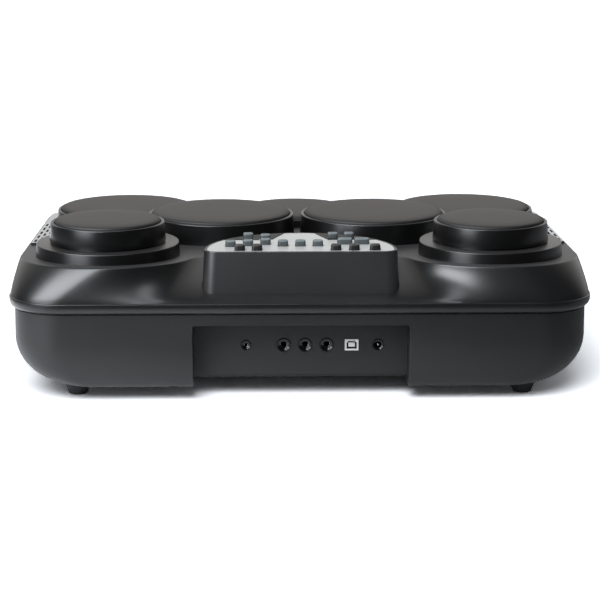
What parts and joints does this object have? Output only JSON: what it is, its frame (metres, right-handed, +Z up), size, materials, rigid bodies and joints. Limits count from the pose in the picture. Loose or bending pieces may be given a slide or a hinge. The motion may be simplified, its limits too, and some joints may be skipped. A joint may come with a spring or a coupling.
{
  "type": "compact electronic drum kit",
  "caption": "Table-top electronic drum kit: round rubber pads on a sloping deck, a raised button console, speaker grilles and a recessed connector panel at the back.",
  "frame": {"origin": "on the table under the middle of the body, at the bottom of the feet", "axes": "+X to the player's right, +Y away from the player towards the connectors, +Z up"},
  "size_m": [0.55, 0.43, 0.161],
  "materials": {
    "shell_satin_black": "satin black ABS with a soft sheen",
    "base_charcoal": "fine-textured charcoal ABS",
    "faceplate_silver": "light silver satin paint",
    "inlay_black": "gloss black film",
    "keypad_silicone": "matte silicone",
    "circuit_board": "green solder mask",
    "pad_rubber": "matte charcoal rubber, finely grained",
    "pad_steel": "zinc-plated sheet",
    "pad_foam": "open-cell foam",
    "speaker_frame": "black painted frame",
    "grille_silver": "light silver satin paint",
    "socket_black": "moulded black",
    "socket_white": "moulded white",
    "cell_sleeve": "printed sleeve",
    "contact_plating": "nickel plating",
    "foot_rubber": "matte black rubber",
    "screw_steel": "black oxide",
    "button_black": "matte black",
    "button_grey": "matte blue-grey"
  },
  "bodies": {
    "kit": {"aux_socket": "socket_black", "battery_cells": "cell_sleeve", "battery_contacts": "contact_plating", "case_screws": "screw_steel", "console_board": "circuit_board", "console_faceplate": "faceplate_silver", "console_housing": "shell_satin_black", "faceplate_inlays": "inlay_black", "feet": "foot_rubber", "front_pad_rims": "shell_satin_black", "jack_panel": "base_charcoal", "keypad_mat": "keypad_silicone", "left_grille": "grille_silver", "left_speaker": "speaker_frame", "lower_shell": "base_charcoal", "main_board": "circuit_board", "middle_pad_rims": "shell_satin_black", "pad_foam_rings": "pad_foam", "power_socket": "socket_black", "quarter_inch_sockets": "socket_black", "rear_pad_collars": "shell_satin_black", "rear_pad_rims": "shell_satin_black", "right_grille": "grille_silver", "right_speaker": "speaker_frame", "upper_shell": "shell_satin_black", "usb_socket": "socket_white"},
    "rear_left_pad": {"pad_rear_left": "pad_rubber", "plate_rear_left": "pad_steel"},
    "rear_right_pad": {"pad_rear_right": "pad_rubber", "plate_rear_right": "pad_steel"},
    "middle_left_pad": {"pad_middle_left": "pad_rubber", "plate_middle_left": "pad_steel"},
    "middle_right_pad": {"pad_middle_right": "pad_rubber", "plate_middle_right": "pad_steel"},
    "front_left_pad": {"pad_front_left": "pad_rubber", "plate_front_left": "pad_steel"},
    "front_right_pad": {"pad_front_right": "pad_rubber", "plate_front_right": "pad_steel"},
    "front_centre_pad": {"pad_front_centre": "pad_rubber", "plate_front_centre": "pad_steel"},
    "black_button_1": {"black_button_1": "button_black"},
    "black_button_2": {"black_button_2": "button_black"},
    "black_button_3": {"black_button_3": "button_black"},
    "black_button_4": {"black_button_4": "button_black"},
    "black_button_5": {"black_button_5": "button_black"},
    "grey_button_1": {"grey_button_1": "button_grey"},
    "grey_button_10": {"grey_button_10": "button_grey"},
    "grey_button_2": {"grey_button_2": "button_grey"},
    "grey_button_3": {"grey_button_3": "button_grey"},
    "grey_button_4": {"grey_button_4": "button_grey"},
    "grey_button_5": {"grey_button_5": "button_grey"},
    "grey_button_6": {"grey_button_6": "button_grey"},
    "grey_button_7": {"grey_button_7": "button_grey"},
    "grey_button_8": {"grey_button_8": "button_grey"},
    "grey_button_9": {"grey_button_9": "button_grey"},
    "wide_button_1": {"wide_button_1": "button_grey"},
    "wide_button_2": {"wide_button_2": "button_grey"},
    "battery_door": {"battery_door": "base_charcoal"}
  },
  "joints": [
    {"name": "rear_left_pad_press", "type": "slide", "parent": "kit", "child": "rear_left_pad", "axis": [0, 0, -1], "range_m": [0, 0.0012], "stiffness_N_per_m": 20000, "springref_m": -0.0003, "deforming": ["pad_foam_rings"]},
    {"name": "rear_right_pad_press", "type": "slide", "parent": "kit", "child": "rear_right_pad", "axis": [0, 0, -1], "range_m": [0, 0.0012], "stiffness_N_per_m": 20000, "springref_m": -0.0003, "deforming": ["pad_foam_rings"]},
    {"name": "middle_left_pad_press", "type": "slide", "parent": "kit", "child": "middle_left_pad", "axis": [0, 0, -1], "range_m": [0, 0.0012], "stiffness_N_per_m": 20000, "springref_m": -0.0003, "deforming": ["pad_foam_rings"]},
    {"name": "middle_right_pad_press", "type": "slide", "parent": "kit", "child": "middle_right_pad", "axis": [0, 0, -1], "range_m": [0, 0.0012], "stiffness_N_per_m": 20000, "springref_m": -0.0003, "deforming": ["pad_foam_rings"]},
    {"name": "front_left_pad_press", "type": "slide", "parent": "kit", "child": "front_left_pad", "axis": [0, 0, -1], "range_m": [0, 0.0012], "stiffness_N_per_m": 20000, "springref_m": -0.0003, "deforming": ["pad_foam_rings"]},
    {"name": "front_right_pad_press", "type": "slide", "parent": "kit", "child": "front_right_pad", "axis": [0, 0, -1], "range_m": [0, 0.0012], "stiffness_N_per_m": 20000, "springref_m": -0.0003, "deforming": ["pad_foam_rings"]},
    {"name": "front_centre_pad_press", "type": "slide", "parent": "kit", "child": "front_centre_pad", "axis": [0, 0, -1], "range_m": [0, 0.0012], "stiffness_N_per_m": 20000, "springref_m": -0.0003, "deforming": ["pad_foam_rings"]},
    {"name": "black_button_1_press", "type": "slide", "parent": "kit", "child": "black_button_1", "axis": [0, 0, -1], "range_m": [0, 0.0012], "stiffness_N_per_m": 1000, "springref_m": -0.0006, "deforming": ["keypad_mat"]},
    {"name": "black_button_2_press", "type": "slide", "parent": "kit", "child": "black_button_2", "axis": [0, 0, -1], "range_m": [0, 0.0012], "stiffness_N_per_m": 1000, "springref_m": -0.0006, "deforming": ["keypad_mat"]},
    {"name": "black_button_3_press", "type": "slide", "parent": "kit", "child": "black_button_3", "axis": [0, 0, -1], "range_m": [0, 0.0012], "stiffness_N_per_m": 1000, "springref_m": -0.0006, "deforming": ["keypad_mat"]},
    {"name": "black_button_4_press", "type": "slide", "parent": "kit", "child": "black_button_4", "axis": [0, 0, -1], "range_m": [0, 0.0012], "stiffness_N_per_m": 1000, "springref_m": -0.0006, "deforming": ["keypad_mat"]},
    {"name": "black_button_5_press", "type": "slide", "parent": "kit", "child": "black_button_5", "axis": [0, 0, -1], "range_m": [0, 0.0012], "stiffness_N_per_m": 1000, "springref_m": -0.0006, "deforming": ["keypad_mat"]},
    {"name": "grey_button_1_press", "type": "slide", "parent": "kit", "child": "grey_button_1", "axis": [0, 0, -1], "range_m": [0, 0.0012], "stiffness_N_per_m": 1000, "springref_m": -0.0006, "deforming": ["keypad_mat"]},
    {"name": "grey_button_10_press", "type": "slide", "parent": "kit", "child": "grey_button_10", "axis": [0, 0, -1], "range_m": [0, 0.0012], "stiffness_N_per_m": 1000, "springref_m": -0.0006, "deforming": ["keypad_mat"]},
    {"name": "grey_button_2_press", "type": "slide", "parent": "kit", "child": "grey_button_2", "axis": [0, 0, -1], "range_m": [0, 0.0012], "stiffness_N_per_m": 1000, "springref_m": -0.0006, "deforming": ["keypad_mat"]},
    {"name": "grey_button_3_press", "type": "slide", "parent": "kit", "child": "grey_button_3", "axis": [0, 0, -1], "range_m": [0, 0.0012], "stiffness_N_per_m": 1000, "springref_m": -0.0006, "deforming": ["keypad_mat"]},
    {"name": "grey_button_4_press", "type": "slide", "parent": "kit", "child": "grey_button_4", "axis": [0, 0, -1], "range_m": [0, 0.0012], "stiffness_N_per_m": 1000, "springref_m": -0.0006, "deforming": ["keypad_mat"]},
    {"name": "grey_button_5_press", "type": "slide", "parent": "kit", "child": "grey_button_5", "axis": [0, 0, -1], "range_m": [0, 0.0012], "stiffness_N_per_m": 1000, "springref_m": -0.0006, "deforming": ["keypad_mat"]},
    {"name": "grey_button_6_press", "type": "slide", "parent": "kit", "child": "grey_button_6", "axis": [0, 0, -1], "range_m": [0, 0.0012], "stiffness_N_per_m": 1000, "springref_m": -0.0006, "deforming": ["keypad_mat"]},
    {"name": "grey_button_7_press", "type": "slide", "parent": "kit", "child": "grey_button_7", "axis": [0, 0, -1], "range_m": [0, 0.0012], "stiffness_N_per_m": 1000, "springref_m": -0.0006, "deforming": ["keypad_mat"]},
    {"name": "grey_button_8_press", "type": "slide", "parent": "kit", "child": "grey_button_8", "axis": [0, 0, -1], "range_m": [0, 0.0012], "stiffness_N_per_m": 1000, "springref_m": -0.0006, "deforming": ["keypad_mat"]},
    {"name": "grey_button_9_press", "type": "slide", "parent": "kit", "child": "grey_button_9", "axis": [0, 0, -1], "range_m": [0, 0.0012], "stiffness_N_per_m": 1000, "springref_m": -0.0006, "deforming": ["keypad_mat"]},
    {"name": "wide_button_1_press", "type": "slide", "parent": "kit", "child": "wide_button_1", "axis": [0, 0, -1], "range_m": [0, 0.0012], "stiffness_N_per_m": 1000, "springref_m": -0.0006, "deforming": ["keypad_mat"]},
    {"name": "wide_button_2_press", "type": "slide", "parent": "kit", "child": "wide_button_2", "axis": [0, 0, -1], "range_m": [0, 0.0012], "stiffness_N_per_m": 1000, "springref_m": -0.0006, "deforming": ["keypad_mat"]},
    {"name": "battery_door_pull", "type": "slide", "parent": "kit", "child": "battery_door", "axis": [0, 0, -1], "range_m": [0, 0.012]}
  ]
}
